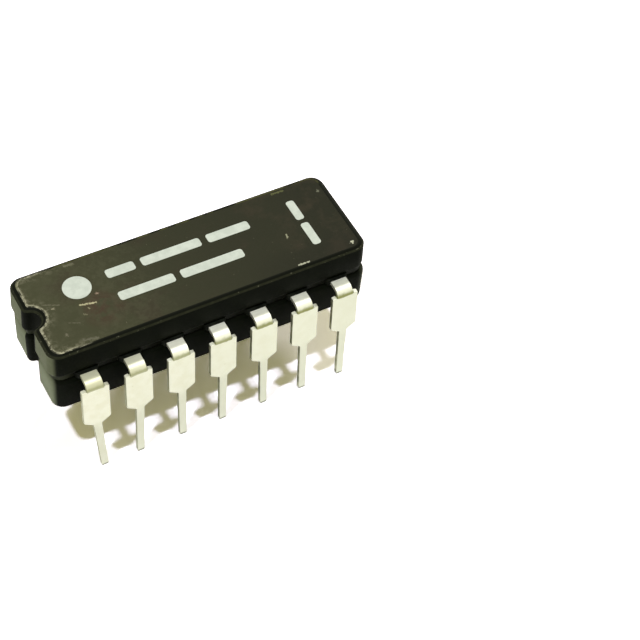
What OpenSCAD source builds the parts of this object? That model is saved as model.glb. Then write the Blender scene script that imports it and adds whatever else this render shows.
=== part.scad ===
// Fourteen-lead ceramic dual in-line package, standing on its lead tips.
// X runs along the length with the end notch at -X, Y across the two lead rows, Z up from the tips.

/* [Ceramic body] */
// Length of each ceramic half at its widest
body_len = 19.2; // [18.6:0.1:19.8]
// Width of each ceramic half at its widest
body_wid = 6.12; // [5.9:0.02:6.5]
// Thickness of the lower ceramic half
base_t = 2.4; // [2.1:0.05:2.7]
// Thickness of the upper ceramic half
cap_t = 1.82; // [1.6:0.02:2.1]
// Radius of the upright corners
corner_r = 0.75; // [0.5:0.05:1]
// Inward lean of the walls over their height, from pressing
wall_draft = 0.03; // [0.01:0.01:0.06]
// How far the upper half slid towards the notch in sealing, and the lower half away from it
seal_slip = 0.07; // [0:0.01:0.1]

/* [Top bevel] */
// Height of the bevel round the top face
bevel_h = 0.2; // [0.12:0.02:0.3]
// Width of the bevel at the two ends
bevel_end = 0.36; // [0.2:0.02:0.5]
// Width of the bevel along the two sides
bevel_side = 0.23; // [0.15:0.01:0.35]
// Width of the bevel round the end notch
bevel_notch = 0.3; // [0.15:0.01:0.34]

/* [Lower edges] */
// Radius of the edge round the underside
base_edge_r = 0.24; // [0.1:0.02:0.4]
// Depth of the rounding where each half meets the seal
seal_edge = 0.14; // [0.06:0.01:0.2]
// Height of that rounding
seal_edge_h = 0.3; // [0.15:0.01:0.4]

/* [End notch] */
// Radius of the half-round notch
notch_r = 0.58; // [0.4:0.02:0.7]
// Distance of the notch's centre from the end face
notch_set = 0.16; // [0.05:0.01:0.25]
// Radius of the two rounded lips of the notch
lip_r = 0.36; // [0.34:0.01:0.5]

/* [Seal] */
// Thickness of the glass between the two ceramic halves
seal_t = 0.4; // [0.32:0.01:0.5]
// How far the glass edge lies inside the ceramic wall
seal_in = 0.17; // [0.14:0.01:0.25]
// How far the glass creeps out along each lead, past the ceramic wall
glass_creep = 0.14; // [0.05:0.01:0.2]
// Extra glass on each side of a lead where its collar starts, inside the glass edge
collar_root = 0.32; // [0.16:0.01:0.4]
// Extra glass on each side of a lead at the collar's outer end
collar_rim = 0.04; // [0.01:0.01:0.1]

/* [Leads] */
// Distance from lead to lead
pitch = 2.54; // [2.45:0.01:2.6]
// Distance from a side wall to the outside of the leads beside it
lead_out = 1.06; // [0.9:0.02:1.3]
// Thickness of the lead metal
lead_t = 0.25; // [0.2:0.01:0.3]
// Inner radius of the bend
bend_r = 0.25; // [0.15:0.01:0.35]
// Outward lean of the leads below the bend, in degrees
splay = 3.2; // [0:0.1:6]
// Height of the ceramic underside above the lead tips
base_up = 4.38; // [4.2:0.02:4.8]
// Height of the seating shoulders above the lead tips
seat_up = 3.75; // [3.4:0.01:4]
// Width of the neck between body and shoulder
neck_w = 0.96; // [0.8:0.01:1.1]
// Width of the broad upper part of a lead
shoulder_w = 1.58; // [1.42:0.01:1.65]
// Height of the slope from the broad part down to the tail
shoulder_slope = 0.36; // [0.2:0.01:0.5]
// How far the ears stand above the end of the bend
ear_up = 0.25; // [0.1:0.01:0.3]
// Part of an ear's width that its corner rounding takes
ear_round = 0.92; // [0.4:0.02:0.96]
// Width of the relief slit between neck and ear
relief_w = 0.07; // [0.05:0.01:0.08]
// How far the relief slits reach below the end of the bend
relief_deep = 0.02; // [0:0.01:0.05]
// Corner radius where the broad part turns into the slope
slope_r = 0.11; // [0.05:0.01:0.2]
// Corner radius where the slope meets the tail
tail_r = 0.06; // [0.03:0.01:0.1]
// Width of the tail at the seating shoulder
tail_w = 0.48; // [0.4:0.01:0.5]
// Width of the tail at its tip
tip_w = 0.42; // [0.36:0.01:0.46]
// Corner radius of the tip
tip_r = 0.1; // [0.02:0.01:0.15]

/* [Inner fingers] */
// Share of the way from the wall to the bare tips over which a lead narrows to its finger
fan_share = 0.75; // [0.5:0.05:0.9]
// Width of a finger under the glass
finger_w = 0.8; // [0.6:0.02:0.9]
// Width of a finger at its tip
finger_tip_w = 0.4; // [0.3:0.01:0.5]
// Gap from the edge of the die cavity to the finger tips
tip_gap = 0.2; // [0.1:0.01:0.3]
// Distance between neighbouring tips at an end of the cavity
end_tip_pitch = 0.74; // [0.6:0.01:0.8]
// Distance between neighbouring tips along a side of the cavity
side_tip_pitch = 1.2; // [0.9:0.01:1.4]
// Length of the bare part of each finger tip
bare_tip = 0.42; // [0.3:0.01:0.5]
// Length of the straight inner end of the second finger; the first has twice as much
straight_end = 1.1; // [0.9:0.05:1.2]

/* [Cavity and die] */
// Length of the die cavity
cavity_len = 3.8; // [3.2:0.05:4.2]
// Width of the die cavity
cavity_wid = 2.6; // [2.3:0.05:2.8]
// Depth of the die cavity below the sealing face
cavity_deep = 0.45; // [0.35:0.01:0.6]
// Depth of the hollow in the upper half
recess_deep = 0.55; // [0.4:0.01:0.8]
// Corner radius of both hollows
hollow_r = 0.3; // [0.15:0.01:0.4]
// Length of the silicon die
die_len = 1.6; // [1.2:0.02:2]
// Width of the silicon die
die_wid = 1.3; // [1:0.02:1.6]
// Thickness of the silicon die
die_t = 0.34; // [0.25:0.01:0.4]
// Thickness of the gold layer under the die
attach_t = 0.04; // [0.02:0.01:0.06]
// How far the gold layer shows round the die
attach_out = 0.08; // [0.03:0.01:0.12]

/* [Bond wires] */
// Diameter of the aluminium bond wire
wire_d = 0.038; // [0.03:0.001:0.05]
// Length of the flattened foot at each end of a wire
foot_len = 0.09; // [0.06:0.01:0.12]
// Height of the wire's loop above the straight line between its feet
loop_h = 0.26; // [0.15:0.01:0.35]
// Width of the foot for each unit of the wire's diameter
foot_spread = 1.5; // [1.2:0.1:1.8]
// Distance from the end of a finger to the outer end of its wire's foot
foot_back = 0.11; // [0.1:0.01:0.2]
// Distance from the die's edge to the inner end of a foot
pad_in = 0.14; // [0.1:0.01:0.2]
// Distance of the outer pads of a long side from the die's middle
side_pad_out = 0.37; // [0.3:0.01:0.45]

/* [Hidden] */
// Sideways stray of each tail's tip, lead by lead, from handling
TAIL_STRAY = [0.28, -0.07, 0.02, -0.03, 0.04, 0.02, -0.03, 0.05, -0.04, 0.02, 0.06, -0.05, 0.03, -0.06];
// Leads whose fingers carry a bond wire; 1, 8 and 14 have none
BONDED = [2, 3, 4, 5, 6, 7, 9, 10, 11, 12, 13];
LEADS_PER_ROW = 7;
// Fingers of each quarter that end at an end of the cavity; the others end along its sides
END_FINGERS = 2;
LEADS = [for (i = [1:2 * LEADS_PER_ROW]) i];
ARC_STEPS = 12;
SMALL_STEPS = 5;
WIRE_SIDES = 8;
WIRE_STEPS = 12;
// Shape of a wire's loop: how far its steps gather at the ends, and the power its height follows
LOOP_GATHER = 0.06;
LOOP_POWER = 0.8;
// Length by which a cut runs past the face it opens
CUT_OVER = 1;
// Length by which the flat, bent and leaning parts of a lead run into each other
JOIN_LAP = 0.002;
// Share of the seal rounding at each of its levels: height, then depth
SEAL_ROUND = [[0, 1], [0.23, 0.5], [0.6, 0.14], [1, 0]];
// Share of the bevel at each of its levels: height, then width
BEVEL_ROUND = [[0, 0], [0.42, 0.2], [0.94, 0.9], [1, 1]];
EDGE_ANGLES = [0, 30, 60, 90];

seal_bottom = base_up + base_t;
seal_top = seal_bottom + seal_t;
seal_mid = (seal_bottom + seal_top) / 2;
lead_bottom = seal_mid - lead_t / 2;
lead_top = seal_mid + lead_t / 2;
bend_out_r = bend_r + lead_t;
row_over = body_wid + 2 * lead_out;
bend_y = row_over / 2 - bend_out_r;
bend_z = lead_top - bend_out_r;
blade_len = (bend_z + bend_r * sin(splay)) / cos(splay);
notch_x = notch_set - body_len / 2;
window_len = cavity_len + 2 * (tip_gap + bare_tip);
window_wid = cavity_wid + 2 * (tip_gap + bare_tip);
cavity_floor = seal_bottom - cavity_deep;
die_bottom = cavity_floor + attach_t;
die_top = die_bottom + die_t;
foot_w = wire_d * foot_spread;
foot_h = wire_d / 2;
end_tip_y = (END_FINGERS - 0.5) * end_tip_pitch;

// Place of lead k along its row
function lead_x(k) = (k - (LEADS_PER_ROW + 1) / 2) * pitch;

// Front-row number of the lead that faces lead i of the rear row
function facing(i) = 2 * LEADS_PER_ROW + 1 - i;

// Points of an arc from angle a to angle b
function arc(x, y, r, a, b, steps) =
    [for (i = [0:steps]) [x + r * cos(a + (b - a) * i / steps), y + r * sin(a + (b - a) * i / steps)]];

// Plan outline of a ceramic half, inset by end, side and notch amounts from its widest
function body_outline(end_in, side_in, notch_in) =
    let (
        hx = body_len / 2 - end_in,
        hy = body_wid / 2 - side_in,
        r = corner_r - side_in,
        nr = notch_r + notch_in,
        lip = lip_r - notch_in,
        lip_x = lip - hx,
        lip_y = sqrt(pow(nr + lip, 2) - pow(lip_x - notch_x, 2)),
        turn = atan2(lip_y, lip_x - notch_x)
    )
    concat(
        arc(hx - r, r - hy, r, -90, 0, ARC_STEPS),
        arc(hx - r, hy - r, r, 0, 90, ARC_STEPS),
        arc(r - hx, hy - r, r, 90, 180, ARC_STEPS),
        arc(lip_x, lip_y, lip, 180, 180 + turn, SMALL_STEPS),
        [for (p = arc(notch_x, 0, nr, turn, -turn, 2 * ARC_STEPS)) if (abs(p.y) < nr * sin(turn) - 0.001) p],
        arc(lip_x, -lip_y, lip, 180 - turn, 180, SMALL_STEPS),
        arc(r - hx, r - hy, r, 180, 270, ARC_STEPS)
    );

// Triangles that fill a body outline of n points: one fan from the middle of the notch to the
// round end, and one fan from each far corner over its own half of the notched end
function fill(n) =
    let (
        first = 0,
        last = 2 * ARC_STEPS + 1,
        middle = floor((last + n) / 2)
    )
    concat(
        [for (i = [first:last - 1]) [middle, i, i + 1]],
        [for (i = [last + 1:middle - 1]) [last, i, i + 1]],
        [for (i = [middle:n - 2]) [first, i, i + 1]]
    );

// Solid through a stack of body outlines, each given as [height, outline]
module loft(levels) {
    n = len(levels[0][1]);
    rings = len(levels);
    above = (rings - 1) * n;
    polyhedron(
        points = [for (v = levels) for (p = v[1]) [p.x, p.y, v[0]]],
        faces = concat(
            fill(n),
            [for (t = fill(n)) [above + t[0], above + t[2], above + t[1]]],
            [for (k = [0:rings - 2]) for (i = [0:n - 1]) each [
                [k * n + i, (k + 1) * n + i, k * n + (i + 1) % n],
                [k * n + (i + 1) % n, (k + 1) * n + i, (k + 1) * n + (i + 1) % n]
            ]]
        )
    );
}

// Polygon with a radius at each corner, from points [x, y, radius]
function rounded(corners) =
    let (n = len(corners))
    [for (i = [0:n - 1])
        let (
            c = corners[i],
            p = [c.x, c.y],
            a = corners[(i + n - 1) % n],
            b = corners[(i + 1) % n],
            to_a = unit([a.x, a.y] - p),
            to_b = unit([b.x, b.y] - p),
            half = acos(max(-1, min(1, to_a * to_b))) / 2,
            centre = p + unit(to_a + to_b) * c.z / sin(half),
            from = p + to_a * c.z / tan(half) - centre,
            sweep = cross(to_a, to_b) > 0 ? half * 2 - 180 : 180 - half * 2
        )
        each c.z == 0 ? [p] :
            [for (k = [0:SMALL_STEPS]) let (t = sweep * k / SMALL_STEPS)
                centre + [from.x * cos(t) - from.y * sin(t), from.x * sin(t) + from.y * cos(t)]]
    ];

function unit(v) = v / norm(v);

// Strip of changing width along a path of points [x, y, width]
function strip(path) =
    let (
        n = len(path),
        along = [for (i = [0:n - 2]) unit([path[i + 1].x - path[i].x, path[i + 1].y - path[i].y])],
        side = [for (i = [0:n - 1])
            let (
                u = unit(along[max(0, i - 1)] + along[min(n - 2, i)]),
                stretch = u * along[min(n - 2, i)]
            )
            [-u.y, u.x] / stretch]
    )
    concat(
        [for (i = [0:n - 1]) [path[i].x, path[i].y] + side[i] * path[i].z / 2],
        [for (i = [n - 1:-1:0]) [path[i].x, path[i].y] - side[i] * path[i].z / 2]
    );

// Flat rectangle about the origin with round corners
module round_rect(w, h, r) {
    polygon(rounded([[w / 2, -h / 2, r], [w / 2, h / 2, r], [-w / 2, h / 2, r], [-w / 2, -h / 2, r]]));
}

// Upper ceramic half: bevelled top face, end notch, and a shallow hollow over the die
module cap() {
    bevel_start = cap_t - bevel_h;
    levels = concat(
        [for (s = SEAL_ROUND)
            let (d = seal_edge * s[1])
            [seal_edge_h * s[0], body_outline(d, d, d)]],
        [for (s = BEVEL_ROUND)
            [bevel_start + bevel_h * s[0],
             body_outline(wall_draft + (bevel_end - wall_draft) * s[1],
                          wall_draft + (bevel_side - wall_draft) * s[1],
                          wall_draft + (bevel_notch - wall_draft) * s[1])]]
    );
    color([0.2, 0.19, 0.15])
        difference() {
            translate([-seal_slip, 0, seal_top]) loft(levels);
            translate([0, 0, seal_top - CUT_OVER])
                linear_extrude(height = recess_deep + CUT_OVER) round_rect(window_len, window_wid, hollow_r);
        }
}

// Lower ceramic half: rounded lower edge, the same notch, and the die cavity
module base() {
    levels = concat(
        [for (a = EDGE_ANGLES)
            let (d = wall_draft + base_edge_r * (1 - sin(a)))
            [base_edge_r * (1 - cos(a)), body_outline(d, d, d)]],
        [for (i = [len(SEAL_ROUND) - 1:-1:0])
            let (d = seal_edge * SEAL_ROUND[i][1])
            [base_t - seal_edge_h * SEAL_ROUND[i][0], body_outline(d, d, d)]]
    );
    color([0.13, 0.12, 0.1])
        difference() {
            translate([seal_slip, 0, base_up]) loft(levels);
            translate([0, 0, cavity_floor])
                linear_extrude(height = cavity_deep + CUT_OVER) round_rect(cavity_len, cavity_wid, hollow_r);
        }
}

// Path of the flat part of a lead in the front row, from the bend inwards to the finger tip
function finger_path(k) =
    let (
        mirrored = k > LEADS_PER_ROW / 2 + 1 ? -1 : 1,
        n = min(k, LEADS_PER_ROW + 1 - k),
        x = lead_x(n),
        wall = body_wid / 2,
        fan_in = fan_share * (wall - window_wid / 2),
        side_y = -cavity_wid / 2 - tip_gap,
        end_x = -cavity_len / 2 - tip_gap,
        end_y = -(n - 0.5) * end_tip_pitch,
        side_x = lead_x(n) / pitch * side_tip_pitch,
        start = [[x, -bend_y - JOIN_LAP, neck_w], [x, -wall, neck_w], [x, -wall + fan_in / 2, finger_w],
                 [x, -wall + fan_in, finger_w]],
        inner = n > END_FINGERS
            ? [[side_x, side_y - bare_tip, finger_tip_w], [side_x, side_y, finger_tip_w]]
            : [[end_x - (END_FINGERS + 1 - n) * straight_end, end_y, finger_tip_w],
               [end_x, end_y, finger_tip_w]]
    )
    [for (p = concat(start, inner)) [mirrored * p.x, p.y, p.z]];

// Flat part of a lead in the front row
module finger(k) {
    translate([0, 0, lead_bottom])
        linear_extrude(height = lead_t) polygon(strip(finger_path(k)));
}

// Stamped outline below the bend: relief slits, ears, broad part, slopes and tail
module blade_outline(stray) {
    seat = seat_up - blade_len;
    slit = neck_w / 2 + relief_w;
    right = [
        [neck_w / 2, 0, 0],
        [neck_w / 2, -relief_deep, 0],
        [slit, -relief_deep, 0],
        [slit, ear_up, 0],
        [shoulder_w / 2, ear_up, ear_round * (shoulder_w / 2 - slit)],
        [shoulder_w / 2, seat + shoulder_slope, slope_r],
        [tail_w / 2, seat, tail_r]
    ];
    tip = [[stray + tip_w / 2, -blade_len, tip_r], [stray - tip_w / 2, -blade_len, tip_r]];
    left = [for (i = [len(right) - 1:-1:0]) [-right[i].x, right[i].y, right[i].z]];
    polygon(rounded(concat(right, tip, left)));
}

// One lead of the front row: flat finger, bend, and the blade leaning outwards
module lead_form(k, stray) {
    finger(k);
    translate([lead_x(k), -bend_y, bend_z]) {
        rotate([0, -90, 180])
            rotate_extrude(angle = 90 - splay + JOIN_LAP / bend_out_r * 180 / PI, $fn = 64)
                translate([bend_r, -neck_w / 2]) square([lead_t, neck_w]);
        rotate([-splay, 0, 0])
            translate([0, -bend_r, 0])
                rotate([90, 0, 0]) linear_extrude(height = lead_t) blade_outline(stray);
    }
}

// Lead by its number: 1 to 7 along the front from the notch, 8 to 14 back along the rear
module lead(i) {
    color([0.86, 0.85, 0.78])
        if (i <= LEADS_PER_ROW) lead_form(i, TAIL_STRAY[i - 1]);
        else mirror([0, 1, 0]) lead_form(facing(i), TAIL_STRAY[i - 1]);
}

// Plan of the glass: the body's outline a little inside the walls, with a collar at each lead
module glass_plan() {
    wall = body_wid / 2;
    root = neck_w / 2 + collar_root;
    rim = neck_w / 2 + collar_rim;
    polygon(body_outline(seal_in, seal_in, seal_in));
    for (k = [1:LEADS_PER_ROW], turn = [0, 180])
        rotate(turn) translate([lead_x(k), 0])
            polygon([[-root, 2 * seal_in - wall], [-rim, -wall - glass_creep],
                     [rim, -wall - glass_creep], [root, 2 * seal_in - wall]]);
}

// Sealing glass between the halves, moulded round the leads and open over the die
module seal_glass() {
    color([0.1, 0.11, 0.09])
        difference() {
            translate([0, 0, seal_bottom]) linear_extrude(height = seal_t) glass_plan();
            translate([0, 0, seal_bottom - CUT_OVER])
                linear_extrude(height = seal_t + 2 * CUT_OVER) round_rect(cavity_len, cavity_wid, hollow_r);
            translate([0, 0, lead_bottom])
                linear_extrude(height = seal_t) round_rect(window_len, window_wid, hollow_r);
            for (k = [1:LEADS_PER_ROW]) {
                finger(k);
                mirror([0, 1, 0]) finger(k);
            }
        }
}

// Thin gold layer that fixes the die to the cavity floor
module die_attach() {
    color([0.83, 0.68, 0.32])
        translate([0, 0, cavity_floor])
            linear_extrude(height = attach_t)
                round_rect(die_len + 2 * attach_out, die_wid + 2 * attach_out, attach_out);
}

// Silicon die
module die() {
    color([0.42, 0.44, 0.5])
        translate([-die_len / 2, -die_wid / 2, die_bottom]) cube([die_len, die_wid, die_t]);
}

// Place on the die of the foot of the wire that goes to a finger at p
function pad_for(p) =
    let (hx = die_len / 2 - pad_in, hy = die_wid / 2 - pad_in)
    abs(p.x) > cavity_len / 2
        ? [sign(p.x) * hx, p.y * hy / end_tip_y]
        : [p.x * side_pad_out / side_tip_pitch, sign(p.y) * hy];

// Wire from its pad to its finger: [distance along, height, half width, half height] at each ring
function wire_rings(run) =
    let (
        sit = foot_h / 2 * cos(180 / WIRE_SIDES),
        pad_z = die_top + sit,
        tip_z = lead_top + sit,
        r = wire_d / 2,
        free = run - 2 * foot_len
    )
    concat(
        [[0, pad_z, foot_w / 2, foot_h / 2], [foot_len, pad_z, foot_w / 2, foot_h / 2]],
        [for (i = [1:WIRE_STEPS - 1])
            let (t = i / WIRE_STEPS, s = t - LOOP_GATHER * sin(360 * t))
            [foot_len + free * s,
             pad_z + (tip_z - pad_z) * t + r - foot_h / 2 + loop_h * pow(sin(180 * t), LOOP_POWER), r, r]],
        [[run - foot_len, tip_z, foot_w / 2, foot_h / 2], [run, tip_z, foot_w / 2, foot_h / 2]]
    );

// Bond wire of a lead: many-sided tube in the upright plane through its two feet
module bond_wire(i) {
    row = i <= LEADS_PER_ROW ? 1 : -1;
    path = finger_path(min(i, facing(i)));
    last = path[len(path) - 1];
    before = path[len(path) - 2];
    inwards = unit([last.x - before.x, last.y - before.y]);
    tip = [last.x, last.y] - inwards * foot_back;
    pad = pad_for(tip);
    heading = unit(tip - pad);
    rings = wire_rings(norm(tip - pad));
    n = len(rings);
    sides = WIRE_SIDES;
    points = [for (k = [0:n - 1])
        let (
            a = rings[max(0, k - 1)],
            b = rings[min(n - 1, k + 1)],
            rise = (k <= 1 || k >= n - 2) ? [1, 0] : unit([b.x - a.x, b.y - a.y])
        )
        for (j = [0:sides - 1])
            let (
                t = (j + 0.5) * 360 / sides,
                out = rings[k].z * cos(t),
                up = rings[k][3] * sin(t),
                along = rings[k].x - up * rise.y
            )
            [pad.x + heading.x * along - heading.y * out,
             row * (pad.y + heading.y * along + heading.x * out),
             rings[k].y + up * rise.x]];
    shell = concat(
        [[for (j = [0:sides - 1]) sides - 1 - j]],
        [[for (j = [0:sides - 1]) (n - 1) * sides + j]],
        [for (k = [0:n - 2]) for (j = [0:sides - 1]) each [
            [k * sides + j, k * sides + (j + 1) % sides, (k + 1) * sides + (j + 1) % sides],
            [k * sides + j, (k + 1) * sides + (j + 1) % sides, (k + 1) * sides + j]
        ]]
    );
    color([0.84, 0.84, 0.85])
        polyhedron(points = points,
                   faces = row > 0 ? [for (f = shell) [for (q = [len(f) - 1:-1:0]) f[q]]] : shell);
}

cap();
base();
seal_glass();
die_attach();
die();
for (i = LEADS) lead(i);
for (i = BONDED) bond_wire(i);
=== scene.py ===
import math

import bpy
from mathutils import Matrix, Vector


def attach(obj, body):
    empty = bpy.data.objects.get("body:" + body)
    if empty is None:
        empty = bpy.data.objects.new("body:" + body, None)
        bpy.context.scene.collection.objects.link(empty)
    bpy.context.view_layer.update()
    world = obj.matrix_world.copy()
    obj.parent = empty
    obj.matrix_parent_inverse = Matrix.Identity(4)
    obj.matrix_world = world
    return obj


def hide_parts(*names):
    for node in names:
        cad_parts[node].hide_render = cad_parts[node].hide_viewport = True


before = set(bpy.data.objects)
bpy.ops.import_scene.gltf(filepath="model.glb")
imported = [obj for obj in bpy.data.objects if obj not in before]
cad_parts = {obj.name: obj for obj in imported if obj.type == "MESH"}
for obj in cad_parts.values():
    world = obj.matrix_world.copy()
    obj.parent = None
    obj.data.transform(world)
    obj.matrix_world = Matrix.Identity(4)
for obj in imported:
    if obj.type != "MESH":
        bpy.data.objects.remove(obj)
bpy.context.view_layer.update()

# The lower half of the body is a dry pressed block of dark alumina, fired hard, with painted light
# on its ends.
# It has rounded lower edges, a notch at the pin 1 end and a cavity in its upper face for the
# chip. The sealing glass fixes it to the upper half.

MM = 0.001


def pick(piece):
    bpy.ops.object.select_all(action="DESELECT")
    piece.select_set(True)
    bpy.context.view_layer.objects.active = piece


def welded_copy(node, name):
    piece = bpy.data.objects.new(name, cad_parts[node].data.copy())
    piece.data.name = name
    piece.data.materials.clear()
    bpy.context.scene.collection.objects.link(piece)
    pick(piece)
    bpy.ops.mesh.customdata_custom_splitnormals_clear()
    bpy.ops.object.mode_set(mode="EDIT")
    bpy.ops.mesh.select_all(action="SELECT")
    bpy.ops.mesh.remove_doubles(threshold=1e-6)
    bpy.ops.mesh.dissolve_limited(angle_limit=math.radians(0.5))
    bpy.ops.mesh.select_all(action="DESELECT")
    bpy.ops.object.mode_set(mode="OBJECT")
    return piece


def ease_edges(piece, width, steps=2, sharper_than=35):
    pick(piece)
    bpy.ops.object.shade_smooth_by_angle(angle=math.radians(30))
    eased = piece.modifiers.new("eased edges", "BEVEL")
    eased.width = width * MM
    eased.segments = steps
    eased.limit_method = "ANGLE"
    eased.angle_limit = math.radians(sharper_than)
    eased.harden_normals = True
    bpy.ops.object.modifier_apply(modifier=eased.name)


def put_in_place(piece, finish, *nodes):
    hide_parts(*nodes)
    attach(piece, "root")


class Surface:
    def __init__(self, name):
        self.material = bpy.data.materials.new(name)
        self.material.use_nodes = True
        self.tree = self.material.node_tree
        self.shader = self.tree.nodes["Principled BSDF"]
        place = self.add("ShaderNodeTexCoord").outputs["Object"]
        self.mm = self.vector("MULTIPLY", place, (1000, 1000, 1000))

    def add(self, kind, **settings):
        node = self.tree.nodes.new(kind)
        for key, value in settings.items():
            setattr(node, key, value)
        return node

    def feed(self, socket, value):
        if isinstance(value, bpy.types.NodeSocket):
            self.tree.links.new(value, socket)
        else:
            socket.default_value = value

    def math(self, what, *values):
        node = self.add("ShaderNodeMath", operation=what)
        for i, value in enumerate(values):
            self.feed(node.inputs[i], value)
        return node.outputs[0]

    def vector(self, what, *values):
        node = self.add("ShaderNodeVectorMath", operation=what)
        for i, value in enumerate(values):
            self.feed(node.inputs[i], value)
        return node.outputs["Value" if what in ("LENGTH", "DOT_PRODUCT") else "Vector"]

    def axes(self):
        node = self.add("ShaderNodeSeparateXYZ")
        self.feed(node.inputs[0], self.mm)
        return node.outputs[0], node.outputs[1], node.outputs[2]

    def noise(self, scale, detail=3.0, rough=0.55, stretch=None):
        node = self.add("ShaderNodeTexNoise")
        at = self.vector("MULTIPLY", self.mm, stretch) if stretch else self.mm
        self.feed(node.inputs["Vector"], at)
        self.feed(node.inputs["Scale"], scale)
        self.feed(node.inputs["Detail"], detail)
        self.feed(node.inputs["Roughness"], rough)
        return node.outputs["Fac"]

    def between(self, value, low, high, out_low=0.0, out_high=1.0, kind="SMOOTHSTEP"):
        node = self.add("ShaderNodeMapRange", interpolation_type=kind)
        for name, given in (
            ("Value", value),
            ("From Min", low),
            ("From Max", high),
            ("To Min", out_low),
            ("To Max", out_high),
        ):
            self.feed(node.inputs[name], given)
        return node.outputs[0]

    def tint(self, share, first, second):
        node = self.add("ShaderNodeMix", data_type="RGBA")
        self.feed(node.inputs["Factor"], share)
        self.feed(node.inputs["A"], first if not isinstance(first, tuple) else (*first, 1))
        self.feed(node.inputs["B"], second if not isinstance(second, tuple) else (*second, 1))
        return node.outputs["Result"]

    def lay(self, tone, mask, share, colour):
        return self.tint(self.math("MULTIPLY", mask, share), tone, colour)

    def grain(self, height, strength, distance):
        node = self.add("ShaderNodeBump")
        self.feed(node.inputs["Height"], height)
        self.feed(node.inputs["Strength"], strength)
        self.feed(node.inputs["Distance"], distance * MM)
        self.feed(self.shader.inputs["Normal"], node.outputs["Normal"])

    def finish(self, **values):
        names = {
            "colour": "Base Color",
            "rough": "Roughness",
            "metal": "Metallic",
            "gloss": "Specular IOR Level",
        }
        for key, value in values.items():
            if isinstance(value, tuple):
                value = (*value, 1)
            self.feed(self.shader.inputs[names[key]], value)
        return self.material


alumina = Surface("dark alumina")
wall_x, wall_y, wall_z = alumina.axes()
cloud = alumina.between(alumina.noise(0.7, 4.0), 0.35, 0.7)
fine = alumina.noise(14.0, 3.0, 0.7)
speck = alumina.between(alumina.noise(5.5, 2.0, 0.6), 0.70, 0.78)
wall_tone = alumina.tint(cloud, (0.0022, 0.0032, 0.0016), (0.0042, 0.0056, 0.003))
wall_tone = alumina.lay(wall_tone, speck, 0.25, (0.04, 0.043, 0.034))
LEFT_WALL, LEFT_TURN, RIGHT_TURN, RIGHT_WALL, NOTCH_HALF = -9.53, -9.28, 9.05, 9.39, 0.90
# Painted light: the end walls are paler where the lamps fall on them, most at the left end and low
# down. The notch walls keep the plain wall colour.
lit_end_tone = alumina.tint(
    alumina.between(wall_z, 5.2, 7.6), (0.34, 0.38, 0.30), (0.21, 0.23, 0.165)
)
lit_end_tone = alumina.lay(lit_end_tone, cloud, 0.3, (0.08, 0.09, 0.06))
off_notch = alumina.between(alumina.math("ABSOLUTE", wall_y), NOTCH_HALF, 1.0)
lit_left_end = alumina.between(wall_x, LEFT_WALL, LEFT_TURN, 1.0, 0.0)
lit_left_end = alumina.math("MULTIPLY", lit_left_end, off_notch)
lit_right_end = alumina.between(wall_x, RIGHT_TURN, RIGHT_WALL, 0.0, 0.15)
lit_end_share = alumina.math("MAXIMUM", lit_left_end, lit_right_end)
wall_tone = alumina.tint(lit_end_share, wall_tone, lit_end_tone)
alumina.grain(fine, 0.25, 0.012)
WALL = alumina.finish(
    colour=wall_tone, rough=alumina.between(fine, 0.3, 0.7, 0.45, 0.62), gloss=0.04
)

base = welded_copy("base", "lower_half")
base.data.materials.append(WALL)
ease_edges(base, 0.03)
put_in_place(base, "ceramic_base", "base")

# The gold layer under the chip is a thin bond of gold and silicon, scrubbed in hot. It holds the
# chip to the cavity floor and shows as a narrow rim round it.

gold = Surface("gold bond")
gold_grain = gold.noise(20.0, 4.0, 0.6)
gold.grain(gold_grain, 0.4, 0.006)
gold.finish(
    colour=gold.tint(gold_grain, (0.75, 0.5, 0.18), (0.95, 0.72, 0.35)),
    rough=gold.between(gold_grain, 0.3, 0.7, 0.25, 0.5),
    metal=1.0,
)
layer = welded_copy("die_attach", "gold_rim")
layer.data.materials.append(gold.material)
ease_edges(layer, 0.008)
put_in_place(layer, "gold_layer", "die_attach")

# The chip is a sawn block of polished silicon, with its circuit on the upper face. Fine grey and
# blue blocks stand for the circuit, and the gold layer holds the chip.

silicon = Surface("silicon")
cells = silicon.add("ShaderNodeTexVoronoi", distance="CHEBYCHEV", feature="F1")
silicon.feed(cells.inputs["Vector"], silicon.mm)
silicon.feed(cells.inputs["Scale"], 9.0)
silicon.grain(cells.outputs["Distance"], 0.2, 0.003)
silicon.finish(
    colour=silicon.tint(
        silicon.between(cells.outputs["Distance"], 0.1, 0.5),
        (0.10, 0.13, 0.17),
        (0.26, 0.24, 0.30),
    ),
    rough=silicon.between(silicon.noise(6.0), 0.3, 0.7, 0.18, 0.32),
    metal=0.6,
)
chip = welded_copy("die", "silicon_chip")
chip.data.materials.append(silicon.material)
ease_edges(chip, 0.006)
put_in_place(chip, "silicon", "die")

# Each lead is stamped from 0.25 mm iron-nickel strip, bent down and dipped in tin. It runs from a
# narrow finger at the cavity, out through the glass and over a tight bend, to a broad shoulder
# and a narrow tail. The tin is dull cream white. Painted shade lays an olive band at the foot of
# each bend and darkens the tails, the first bends and the leads towards the right.

PITCH, SLIT_Z, SPLAY = 2.54, 6.612, math.radians(3.2)
NECK_HALF, EARS_FROM_Y, EAR_CLEAR, EAR_LOWERED, TAIL_TOP = 0.52, 3.8, 0.01, 0.78, 6.0

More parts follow.
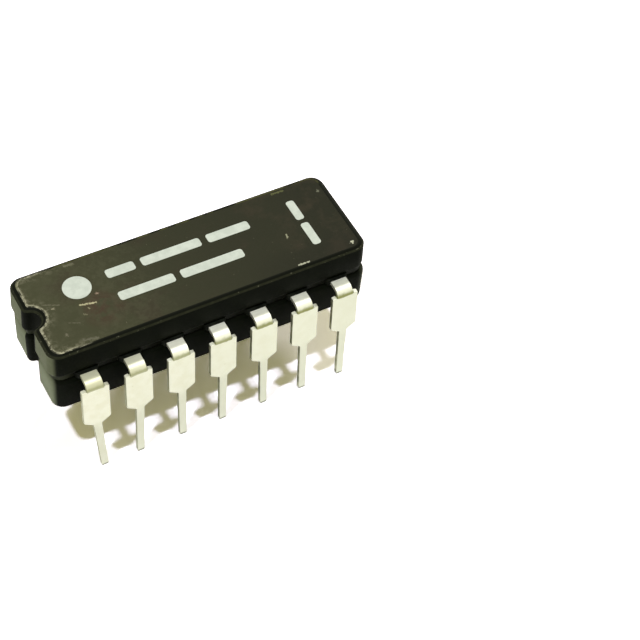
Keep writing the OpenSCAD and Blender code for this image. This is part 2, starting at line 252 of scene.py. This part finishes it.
tin = Surface("dull tin")
tin_x, tin_y, tin_z = tin.axes()
tin_cloud = tin.noise(1.4, 4.0, 0.6)
tin_fine = tin.noise(22.0, 3.0, 0.65)
tin_tone = tin.tint(tin.between(tin_cloud, 0.35, 0.68), (0.97, 0.965, 0.86), (0.92, 0.91, 0.78))
ragged = tin.math("MULTIPLY", tin.math("SUBTRACT", tin.noise(4.0, 3.0, 0.6), 0.5), 0.16)
ragged_z = tin.math("ADD", tin_z, ragged)
# Painted shade: an olive band lies at the foot of each bend, on the neck only, weaker to the left.
painted_bend_shade = tin.math(
    "MULTIPLY", tin.between(ragged_z, 6.54, 6.64), tin.between(ragged_z, 6.72, 6.93, 1.0, 0.0)
)
painted_bend_shade = tin.math("MULTIPLY", painted_bend_shade, tin.between(tin_x, -9.0, 6.0, 0.6, 1.0))
along_row = tin.math("FLOORED_MODULO", tin.math("ADD", tin_x, PITCH / 2), PITCH)
off_neck = tin.math("ABSOLUTE", tin.math("SUBTRACT", along_row, PITCH / 2))
painted_bend_shade = tin.math("MULTIPLY", painted_bend_shade, tin.between(off_neck, 0.49, 0.53, 1.0, 0.1))
# Painted shade: the tails are darker below the broad shoulders.
tin_tone = tin.tint(tin.between(tin_z, 3.2, 4.2, 0.5, 0.0), tin_tone, (0.70, 0.71, 0.61))
# Painted shade: the leads grow greyer towards the right end of the row.
tin_shade_right = tin.between(tin_x, -8.0, 8.0, 0.0, 0.6, "LINEAR")
tin_tone = tin.tint(tin_shade_right, tin_tone, (0.78, 0.80, 0.70))
tip_grey = tin.between(ragged_z, 0.05, 0.20, 0.9, 0.0)
tin_tone = tin.tint(tip_grey, tin_tone, (0.22, 0.24, 0.18))
tin_out = tin.math("ABSOLUTE", tin_y)
# A thin darker line runs across each neck near the body.
dark_neck_line = tin.math("MULTIPLY", tin.between(tin_z, 7.02, 7.07), tin.between(tin_out, 3.4, 3.5))
dark_neck_line = tin.math("MULTIPLY", dark_neck_line, tin.between(tin_out, 3.56, 3.66, 1.0, 0.0))
tin_tone = tin.lay(tin_tone, dark_neck_line, 0.12, (0.35, 0.35, 0.25))
# Painted shade: the bends of the first leads on the left are darker.
painted_shade_first_bends = tin.math(
    "MULTIPLY", tin.between(tin_z, 6.6, 6.75), tin.between(tin_x, -7.0, -1.5, 1.0, 0.0)
)
tin_tone = tin.lay(tin_tone, painted_shade_first_bends, 0.85, (0.60, 0.60, 0.42))
tin_tone = tin.tint(painted_bend_shade, tin_tone, (0.32, 0.33, 0.14))
dents = tin.between(tin.noise(7.0, 2.0, 0.5), 0.72, 0.77)
tin_tone = tin.lay(tin_tone, dents, 0.25, (0.50, 0.48, 0.32))
tin.grain(tin_fine, 0.18, 0.008)
tin.finish(
    colour=tin_tone,
    rough=tin.between(tin_fine, 0.3, 0.7, 0.46, 0.6),
    metal=1.0,
)
sheared = Surface("sheared tin edge")
sheared_x = sheared.axes()[0]
# Painted light and shade: the sheared faces are lighter at the left end of the row and darker
# towards the right.
sheared_edge_shade = sheared.tint(
    sheared.between(sheared_x, -6.5, 0.0), (0.62, 0.62, 0.50), (0.26, 0.27, 0.20)
)
sheared_patch = sheared.between(sheared.noise(2.0, 3.0), 0.4, 0.6)
sheared.finish(
    colour=sheared.tint(sheared_patch, sheared_edge_shade, (0.50, 0.50, 0.38)), rough=0.55, metal=1.0
)


def off_centre(at):
    x = at.x / MM
    return abs(x - PITCH * round(x / PITCH))


for number in range(1, 15):
    lead = welded_copy(f"lead_{number}", f"tinned_lead_{number}")
    lead.data.materials.append(tin.material)
    for vert in lead.data.vertices:
        on_ear = abs(vert.co.y) > EARS_FROM_Y * MM and off_centre(vert.co) > NECK_HALF
        if on_ear and vert.co.z > SLIT_Z * MM + EAR_CLEAR * MM:
            down = EAR_LOWERED * (vert.co.z - SLIT_Z * MM)
            vert.co.z -= down
            vert.co.y += math.copysign(down * math.tan(SPLAY), vert.co.y)
    lead.data.materials.append(sheared.material)
    for face in lead.data.polygons:
        if abs(face.normal.x) > 0.9 and face.center.z < TAIL_TOP * MM:
            face.material_index = 1
    ease_edges(lead, 0.022, sharper_than=40)
    put_in_place(lead, "tinned_lead", f"lead_{number}")

# The bond wires are fine aluminium, pressed flat at both ends, from the chip's pads to the tips
# of the lead fingers. Three leads carry no wire.

bright_wire = Surface("aluminium wire")
bright_wire.finish(
    colour=bright_wire.tint(bright_wire.noise(30.0), (0.78, 0.79, 0.8), (0.9, 0.9, 0.91)),
    rough=bright_wire.between(bright_wire.noise(60.0), 0.3, 0.7, 0.2, 0.35),
    metal=1.0,
)
for number in (2, 3, 4, 5, 6, 7, 9, 10, 11, 12, 13):
    wire = welded_copy(f"bond_wire_{number}", f"fine_wire_{number}")
    wire.data.materials.append(bright_wire.material)
    pick(wire)
    bpy.ops.object.shade_smooth_by_angle(angle=math.radians(50))
    put_in_place(wire, "bond_wire", f"bond_wire_{number}")

# The sealing glass is a grey-black frit that melted between the two halves. It sits back in the
# seam and creeps out a little as a collar round each lead.

glass = Surface("sealing glass")
glass_cloud = glass.noise(2.4, 4.0, 0.6)
glass.grain(glass.noise(9.0), 0.3, 0.02)
glass_x = glass.axes()[0]
glass_tone = glass.tint(
    glass.between(glass_cloud, 0.45, 0.7), (0.004, 0.005, 0.0035), (0.012, 0.014, 0.010)
)
# Painted light: the seam is lighter at its left end.
glass_tone = glass.tint(
    glass.between(glass_x, -8.9, -8.3, 0.7, 0.0), glass_tone, (0.055, 0.062, 0.046)
)
glass.finish(
    colour=glass_tone,
    rough=glass.between(glass_cloud, 0.3, 0.7, 0.3, 0.5),
    gloss=0.08,
)
seal = welded_copy("seal_glass", "sealing_frit")
seal.data.materials.append(glass.material)
ease_edges(seal, 0.02)
put_in_place(seal, "sealing_glass", "seal_glass")

# The upper half is pressed from the same alumina. Its flat top is bordered by a sloped edge, and
# wear has bared a pale line along that edge, most of all round the notch and the left corners.

END_X, SLIP, SIDE_Y, TURN_R = 9.24, -0.07, 2.83, 0.52
NOTCH_X, NOTCH_R = -9.51, 0.88


def depth_from_edge(s):
    x, y = s.axes()[:2]
    over_x = s.math("SUBTRACT", s.math("ABSOLUTE", s.math("SUBTRACT", x, SLIP)), END_X - TURN_R)
    over_y = s.math("SUBTRACT", s.math("ABSOLUTE", y), SIDE_Y - TURN_R)
    out_x, out_y = s.math("MAXIMUM", over_x, 0.0), s.math("MAXIMUM", over_y, 0.0)
    corner = s.math(
        "SQRT", s.math("ADD", s.math("MULTIPLY", out_x, out_x), s.math("MULTIPLY", out_y, out_y))
    )
    flat = s.math("MINIMUM", s.math("MAXIMUM", over_x, over_y), 0.0)
    outline = s.math("SUBTRACT", TURN_R, s.math("ADD", corner, flat))
    plan = s.vector("MULTIPLY", s.mm, (1, 1, 0))
    notch = s.vector("LENGTH", s.vector("SUBTRACT", plan, (NOTCH_X, 0, 0)))
    return s.math("MINIMUM", outline, s.math("SUBTRACT", notch, NOTCH_R))


def scratch(s, start, end, width):
    plan = s.vector("MULTIPLY", s.mm, (1, 1, 0))
    run = Vector((end[0] - start[0], end[1] - start[1], 0))
    away = s.vector("SUBTRACT", plan, (*start, 0))
    share = s.math("DIVIDE", s.vector("DOT_PRODUCT", away, tuple(run)), max(run.dot(run), 1e-6))
    share = s.math("MINIMUM", s.math("MAXIMUM", share, 0.0), 1.0)
    foot = s.add("ShaderNodeVectorMath", operation="SCALE")
    foot.inputs[0].default_value = run
    s.feed(foot.inputs["Scale"], share)
    gap = s.vector("LENGTH", s.vector("SUBTRACT", away, foot.outputs["Vector"]))
    uneven = s.math("MULTIPLY", s.math("SUBTRACT", s.noise(9.0), 0.5), width * 3.0)
    return s.between(s.math("ADD", gap, uneven), width * 0.2, width * 0.9, 1.0, 0.0)


top_face = Surface("lapped top")
top_x, top_y = top_face.axes()[:2]
top_fine = top_face.noise(16.0, 3.0, 0.7)
# Painted light and shade: the top is lighter at the left and darker towards the right, with more
# painted shade at the front right and in the middle.
painted_light_falloff = top_face.between(top_x, -9.0, 8.0, kind="LINEAR")
top_tone = top_face.tint(painted_light_falloff, (0.058, 0.0585, 0.031), (0.0165, 0.017, 0.009))
browned = top_face.between(top_face.noise(0.42, 4.0, 0.62), 0.5, 0.68)
top_tone = top_face.lay(top_tone, browned, 0.6, (0.044, 0.035, 0.022))
STAIN_AT = (-5.7, -0.9, 9.0)
stain_spot = top_face.vector("LENGTH", top_face.vector("SUBTRACT", top_face.mm, STAIN_AT))
stain_spot = top_face.math(
    "MULTIPLY",
    top_face.between(stain_spot, 0.3, 1.7, 1.0, 0.0),
    top_face.between(top_face.noise(1.6, 4.0, 0.6), 0.35, 0.6),
)
top_tone = top_face.lay(top_tone, stain_spot, 0.8, (0.062, 0.036, 0.024))
shaded = top_face.math(
    "MULTIPLY", top_face.between(top_x, 1.0, 7.0), top_face.between(top_y, -2.6, -0.8, 1.0, 0.0)
)
top_tone = top_face.lay(top_tone, shaded, 0.45, (0.008, 0.0085, 0.0045))
middle = top_face.math(
    "MULTIPLY", top_face.between(top_x, -5.0, -1.0), top_face.between(top_x, 3.0, 7.0, 1.0, 0.0)
)
top_tone = top_face.lay(top_tone, middle, 0.25, (0.008, 0.0085, 0.0045))
mottled = top_face.math(
    "MULTIPLY",
    top_face.between(top_x, -4.0, -1.0, 1.0, 0.0),
    top_face.between(top_face.noise(2.5, 4.0, 0.7), 0.42, 0.64),
)
top_tone = top_face.lay(top_tone, mottled, 0.22, (0.10, 0.098, 0.062))
near_edge = depth_from_edge(top_face)
left_part = top_face.between(top_x, -8.0, -6.2, 1.0, 0.0)
dust_noise = top_face.noise(3.2, 5.0, 0.7)
dust = top_face.math(
    "MULTIPLY",
    top_face.between(near_edge, 0.02, 0.65, 1.0, 0.0),
    top_face.math("MULTIPLY", left_part, top_face.between(dust_noise, 0.44, 0.60)),
)
top_tone = top_face.lay(top_tone, dust, 0.6, (0.22, 0.21, 0.15))
frayed = top_face.math(
    "MULTIPLY",
    top_face.between(near_edge, 0.04, 0.16, 1.0, 0.0),
    top_face.math(
        "MULTIPLY",
        top_face.between(top_x, -8.3, -7.6, 1.0, 0.0),
        top_face.between(top_face.noise(5.0, 4.0, 0.7), 0.40, 0.56),
    ),
)
top_tone = top_face.lay(top_tone, frayed, 0.85, (0.50, 0.48, 0.36))
fine_specks = top_face.between(top_face.noise(7.5, 2.0, 0.55), 0.735, 0.79)
top_tone = top_face.lay(top_tone, fine_specks, 0.5, (0.20, 0.19, 0.13))
for start, end, width, colour in (
    ((-6.73, -0.23), (-5.87, -0.40), 0.085, (0.50, 0.46, 0.30)),
    ((-6.40, -0.56), (-6.36, -0.68), 0.06, (0.24, 0.22, 0.14)),
    ((-6.78, -0.9), (-6.66, -0.98), 0.09, (0.15, 0.14, 0.09)),
    ((5.25, -2.71), (5.87, -2.72), 0.08, (0.50, 0.50, 0.40)),
    ((5.68, -0.42), (5.6, -0.70), 0.07, (0.34, 0.34, 0.24)),
    ((8.70, -2.46), (8.74, -2.48), 0.13, (0.70, 0.70, 0.56)),
    ((-5.60, 0.15), (-5.54, 0.13), 0.11, (0.30, 0.22, 0.17)),
    ((-8.15, 0.13), (-8.10, 0.12), 0.12, (0.26, 0.24, 0.17)),
    ((-7.75, -1.1), (-7.2, -1.35), 0.05, (0.12, 0.115, 0.08)),
    ((-8.2, -1.80), (-8.15, -1.84), 0.12, (0.15, 0.14, 0.10)),
    ((-8.55, 0.62), (-7.72, 0.24), 0.05, (0.13, 0.125, 0.085)),
    ((-7.5, -2.5), (-6.8, -2.66), 0.12, (0.13, 0.125, 0.09)),
    ((8.84, 1.76), (8.88, 1.75), 0.12, (0.16, 0.16, 0.12)),
    ((6.3, 2.62), (7.0, 2.60), 0.10, (0.11, 0.115, 0.05)),
    ((-6.4, 2.66), (-5.95, 2.6), 0.14, (0.14, 0.135, 0.09)),
):
    top_tone = top_face.tint(scratch(top_face, start, end, width), top_tone, colour)
top_face.grain(top_fine, 0.3, 0.01)
top_face.finish(
    colour=top_tone, rough=top_face.between(top_fine, 0.3, 0.7, 0.5, 0.7), gloss=0.12
)

worn = Surface("worn edge")
worn_x, worn_y = worn.axes()[:2]
worn_patch = worn.between(worn.noise(2.6, 5.0, 0.75), 0.42, 0.60, 0.1, 1.0)
worn_far = worn.between(worn_y, 0.9, 2.2, 1.0, 0.45)
worn_left = worn.math("MULTIPLY", worn.between(worn_x, -7.9, -6.9, 1.0, 0.0), worn_patch)
worn_left = worn.math("MULTIPLY", worn_left, worn_far)
worn_back = worn.math(
    "MULTIPLY", worn.between(worn_y, 2.0, 2.6), worn.between(worn.noise(0.9, 3.0), 0.42, 0.58)
)
worn_tone = worn.lay((0.008, 0.009, 0.006), worn_back, 0.7, (0.12, 0.12, 0.045))
worn_tone = worn.tint(worn_left, worn_tone, (0.50, 0.48, 0.36))
worn.finish(colour=worn_tone, rough=0.55, gloss=0.04)

rim = Surface("bevel rim")
rim_z = rim.axes()[2]
rim_patch = rim.between(rim.noise(2.6, 4.0, 0.65), 0.35, 0.65, 0.5, 1.0)
rim_chip = rim.between(rim.noise(6.0, 2.0), 0.64, 0.7)
rim_tone = rim.tint(rim_patch, (0.013, 0.0145, 0.009), (0.030, 0.032, 0.020))
rim_upper = rim.between(rim_z, 8.895, 8.925)
rim_tone = rim.lay(rim_tone, rim_chip, 0.6, (0.16, 0.16, 0.12))
rim_tone = rim.tint(rim_upper, rim_tone, (0.006, 0.007, 0.0045))
rim.finish(colour=rim_tone, rough=0.5, gloss=0.04)

TOP_SLOT, WORN_SLOT, RIM_SLOT, WORN_W, INK_T = 1, 2, 3, 0.05, 0.008
cap = welded_copy("cap", "upper_half")
for finish in (WALL, top_face.material, worn.material, rim.material):
    cap.data.materials.append(finish)
cap_top = max(v.co.z for v in cap.data.vertices)
for face in cap.data.polygons:
    if 0.3 < face.normal.z < 0.99:
        face.material_index = RIM_SLOT
    elif face.normal.z >= 0.99 and face.center.z > cap_top - 0.01 * MM:
        face.material_index = TOP_SLOT
bpy.ops.object.mode_set(mode="EDIT")
bpy.ops.mesh.select_mode(type="FACE")
bpy.ops.mesh.select_all(action="DESELECT")
bpy.ops.object.mode_set(mode="OBJECT")
for face in cap.data.polygons:
    face.select = face.material_index == TOP_SLOT
bpy.ops.object.mode_set(mode="EDIT")
bpy.ops.mesh.region_to_loop()
bpy.ops.mesh.bevel(offset=WORN_W * MM, segments=3, affect="EDGES", material=WORN_SLOT)
bpy.ops.mesh.select_all(action="DESELECT")
bpy.ops.object.mode_set(mode="OBJECT")
for vert in cap.data.vertices:
    if vert.co.z > cap_top - 0.001 * MM:
        vert.co.z -= INK_T * MM
ease_edges(cap, 0.03)
put_in_place(cap, "ceramic_cap", "cap")

# The marking is pale grey ink stamped on the top face: a plain dot, two rows of plain bars and one
# turned row. The ink is thin, a little uneven and softly rounded at its corners.

ink = Surface("pale ink")
ink_cloud = ink.noise(2.2, 4.0, 0.65)
ink_fine = ink.noise(18.0, 3.0, 0.7)
ink_tone = ink.tint(ink.between(ink_cloud, 0.35, 0.65), (0.61, 0.66, 0.63), (0.70, 0.75, 0.72))
ink_tone = ink.tint(ink.between(ink_fine, 0.66, 0.78), ink_tone, (0.42, 0.44, 0.38))
ink.grain(ink_fine, 0.2, 0.004)
ink.finish(colour=ink_tone, rough=0.6, gloss=0.3)


def ink_bar(x, y, length, height, turned):
    width, depth = (height, length) if turned else (length, height)
    middle = cap_top - INK_T * MM
    bpy.ops.object.select_all(action="DESELECT")
    bpy.ops.mesh.primitive_cube_add(size=1, location=(x * MM, y * MM, middle))
    bar = bpy.context.object
    bar.scale = (width * MM, depth * MM, 2 * INK_T * MM)
    bpy.ops.object.transform_apply(location=True, rotation=True, scale=True)
    round_upright_edges(bar, 0.16)
    return bar


def round_upright_edges(piece, radius):
    mesh = piece.data
    bpy.ops.object.mode_set(mode="EDIT")
    bpy.ops.mesh.select_mode(type="EDGE")
    bpy.ops.mesh.select_all(action="DESELECT")
    bpy.ops.object.mode_set(mode="OBJECT")
    for edge in mesh.edges:
        a, b = (mesh.vertices[i].co for i in edge.vertices)
        edge.select = abs(a.z - b.z) > 0.001 * MM
    bpy.ops.object.mode_set(mode="EDIT")
    bpy.ops.mesh.bevel(offset=radius * MM, segments=6, affect="EDGES")
    bpy.ops.object.mode_set(mode="OBJECT")


bars = [
    ink_bar(*given)
    for given in (
        (-3.75, 1.13, 1.7, 0.62, False),
        (-0.70, 1.13, 3.6, 0.62, False),
        (2.80, 1.13, 2.6, 0.62, False),
        (-2.95, -0.58, 3.3, 0.62, False),
        (1.00, -0.58, 3.8, 0.62, False),
        (6.95, 0.98, 1.5, 0.5, True),
        (6.95, -0.92, 1.7, 0.5, True),
    )
]
bpy.ops.object.select_all(action="DESELECT")
DOT_X, DOT_Y, DOT_R = -6.39, 0.96, 0.8
bpy.ops.mesh.primitive_cylinder_add(
    vertices=48,
    radius=DOT_R * MM,
    depth=2 * INK_T * MM,
    location=(DOT_X * MM, DOT_Y * MM, cap_top - INK_T * MM),
)
dot = bpy.context.object
bpy.ops.object.transform_apply(location=True, rotation=True, scale=True)
for bar in bars:
    bar.select_set(True)
bpy.ops.object.join()
dot.name = dot.data.name = "ink_marks"
dot.data.materials.append(ink.material)
ease_edges(dot, 0.003, steps=1)
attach(dot, "root")

# The part stands on a plain white table, which only takes its shadow. The camera sees it whiter
# than paper, the tin mirrors it as white, and soft light meets plain paper.


def any_ray(tree, ray, *kinds):
    total = ray.outputs[kinds[0]]
    for kind in kinds[1:]:
        larger = tree.nodes.new("ShaderNodeMath")
        larger.operation = "MAXIMUM"
        tree.links.new(total, larger.inputs[0])
        tree.links.new(ray.outputs[kind], larger.inputs[1])
        total = larger.outputs[0]
    return total


def choose(tree, share, otherwise, chosen):
    node = tree.nodes.new("ShaderNodeMixShader")
    for i, given in enumerate((share, otherwise, chosen)):
        tree.links.new(given, node.inputs[i])
    return node.outputs[0]


bpy.ops.object.select_all(action="DESELECT")
bpy.ops.mesh.primitive_plane_add(size=0.9, location=(0, 0, 0))
table_top = bpy.context.object
table_top.name = "table_top"
paper = bpy.data.materials.new("white paper")
paper.use_nodes = True
wiring = paper.node_tree
wiring.nodes.clear()
seen = wiring.nodes.new("ShaderNodeLightPath")
papers = []
for colour in ((0.8, 0.79, 0.76, 1), (1.03, 1.02, 1.04, 1), (2.15, 2.05, 2.35, 1)):
    papers.append(wiring.nodes.new("ShaderNodeBsdfDiffuse"))
    papers[-1].inputs["Color"].default_value = colour
plain_paper, mirrored_paper, shown_paper = (one.outputs[0] for one in papers)
reflected = any_ray(wiring, seen, "Is Glossy Ray", "Is Transmission Ray")
unseen = choose(wiring, reflected, plain_paper, mirrored_paper)
chosen_paper = choose(wiring, seen.outputs["Is Camera Ray"], unseen, shown_paper)
out = wiring.nodes.new("ShaderNodeOutputMaterial")
wiring.links.new(chosen_paper, out.inputs["Surface"])
table_top.data.materials.append(paper)

# Soft light comes from a bright room and from two lamps high up, so each lead throws two faint
# shadows that are dark only where they meet. A third lamp, low behind the right end, lights the
# table under the body.

room = bpy.data.worlds.new("bright room")
bpy.context.scene.world = room
room.use_nodes = True
sky = room.node_tree
sky.nodes.clear()
ray = sky.nodes.new("ShaderNodeLightPath")
soft = sky.nodes.new("ShaderNodeBackground")
soft.inputs["Color"].default_value = (1.0, 0.97, 0.38, 1)
soft.inputs["Strength"].default_value = 0.26
white = sky.nodes.new("ShaderNodeBackground")
white.inputs["Strength"].default_value = 1.0
warm = sky.nodes.new("ShaderNodeMix")
warm.data_type = "RGBA"
warm.inputs["A"].default_value = (1.0, 0.985, 0.84, 1)
warm.inputs["B"].default_value = (1, 1, 1, 1)
sky.links.new(ray.outputs["Is Camera Ray"], warm.inputs["Factor"])
sky.links.new(warm.outputs["Result"], white.inputs["Color"])
shows = any_ray(sky, ray, "Is Camera Ray", "Is Glossy Ray", "Is Transmission Ray")
sky_out = sky.nodes.new("ShaderNodeOutputWorld")
sky.links.new(choose(sky, shows, soft.outputs[0], white.outputs[0]), sky_out.inputs["Surface"])
AIM = Vector((0, 0, 0.004))


def hang_lamp(name, place, width, power, colour):
    data = bpy.data.lights.new(name, "AREA")
    data.shape = "DISK"
    data.size = width
    data.energy = power
    data.color = colour
    lamp = bpy.data.objects.new(name, data)
    lamp.location = place
    lamp.rotation_mode = "QUATERNION"
    lamp.rotation_quaternion = (AIM - Vector(place)).to_track_quat("-Z", "Y")
    bpy.context.scene.collection.objects.link(lamp)


hang_lamp("lamp_left", (-0.140, -0.042, 0.400), 0.022, 0.63, (0.92, 0.94, 1.0))
hang_lamp("lamp_right", (0.036, -0.042, 0.420), 0.022, 0.57, (0.92, 0.94, 1.0))
hang_lamp("lamp_behind", (0.230, 0.230, 0.250), 0.07, 0.32, (1.0, 0.98, 0.88))

# The camera looks down on the front row from the left, as close as the photograph was taken. Its
# place, turn and focal length were fitted to the corners that the photograph shows.

TURN, RISE, TIP = math.radians(-33.4117), math.radians(50.8097), math.radians(6.3519)
AWAY, ASIDE, LIFT = 109.6632, 7.67333, 2.45967
SENSOR, FOCAL_PX, WIDE_PX = 36, 1874.255, 640
back = Vector(
    (math.sin(TURN) * math.cos(RISE), -math.cos(TURN) * math.cos(RISE), math.sin(RISE))
)
level = Vector((math.cos(TURN), math.sin(TURN), 0))
above = back.cross(level)
right = level * math.cos(TIP) + above * math.sin(TIP)
up = above * math.cos(TIP) - level * math.sin(TIP)
eye = (back * AWAY + right * ASIDE + up * LIFT) * MM
camera = bpy.data.objects.new("camera", bpy.data.cameras.new("camera"))
bpy.context.scene.collection.objects.link(camera)
camera.rotation_mode = "QUATERNION"
camera.location = eye
camera.rotation_quaternion = Matrix((right, up, back)).transposed().to_quaternion()
camera.data.sensor_width = SENSOR
camera.data.lens = SENSOR * FOCAL_PX / WIDE_PX
camera.data.clip_start = 0.002
camera.data.clip_end = 5
bpy.context.scene.camera = camera

bpy.context.scene.view_settings.view_transform = "Standard"
